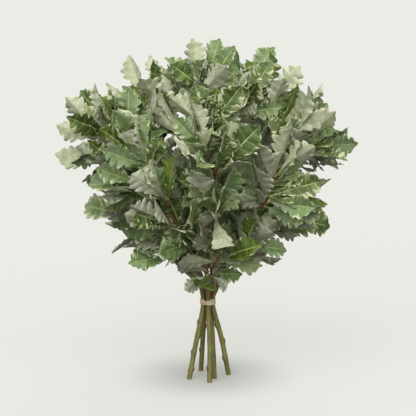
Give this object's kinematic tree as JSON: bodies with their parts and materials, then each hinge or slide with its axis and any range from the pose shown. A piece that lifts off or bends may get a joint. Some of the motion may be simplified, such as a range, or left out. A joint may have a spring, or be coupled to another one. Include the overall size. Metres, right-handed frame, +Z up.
{
  "type": "tied bunch of oak foliage",
  "caption": "Upright hand-tied bunch of leafy variegated oak branches, held by a rubber band and standing on its splayed cut stems.",
  "frame": {"origin": "middle of the bounding box, on the surface that the cut ends stand on", "axes": "+Z up along the bunch, -Y towards its front, +X to the right as seen from the front"},
  "size_m": [0.5402, 0.4422, 0.616],
  "materials": {
    "bark": "matte",
    "foliage": "matte",
    "rubber": "satin"
  },
  "bodies": {
    "root": {"back_shoot_01": "foliage", "back_shoot_02": "foliage", "back_shoot_03": "foliage", "back_shoot_04": "foliage", "back_shoot_05": "foliage", "back_shoot_06": "foliage", "back_shoot_07": "foliage", "back_shoot_08": "foliage", "back_shoot_09": "foliage", "back_shoot_10": "foliage", "back_shoot_11": "foliage", "back_shoot_12": "foliage", "back_shoot_13": "foliage", "back_shoot_14": "foliage", "back_shoot_15": "foliage", "back_shoot_16": "foliage", "back_shoot_17": "foliage", "back_shoot_18": "foliage", "back_shoot_19": "foliage", "back_shoot_20": "foliage", "back_shoot_21": "foliage", "front_shoot_01": "foliage", "front_shoot_02": "foliage", "front_shoot_03": "foliage", "front_shoot_04": "foliage", "front_shoot_05": "foliage", "front_shoot_06": "foliage", "front_shoot_07": "foliage", "front_shoot_08": "foliage", "front_shoot_09": "foliage", "front_shoot_10": "foliage", "front_shoot_11": "foliage", "front_shoot_12": "foliage", "front_shoot_13": "foliage", "front_shoot_14": "foliage", "front_shoot_15": "foliage", "front_shoot_16": "foliage", "front_shoot_17": "foliage", "front_shoot_18": "foliage", "front_shoot_19": "foliage", "front_shoot_20": "foliage", "front_shoot_21": "foliage", "front_shoot_22": "foliage", "front_shoot_23": "foliage", "inner_shoot_01": "foliage", "inner_shoot_02": "foliage", "inner_shoot_03": "foliage", "inner_shoot_04": "foliage", "inner_shoot_05": "foliage", "inner_shoot_06": "foliage", "inner_shoot_07": "foliage", "inner_shoot_08": "foliage", "inner_shoot_09": "foliage", "inner_shoot_10": "foliage", "rubber_band": "rubber", "stem_back_left": "bark", "stem_back_right": "bark", "stem_front": "bark", "stem_left": "bark", "stem_right": "bark"}
  },
  "joints": []
}
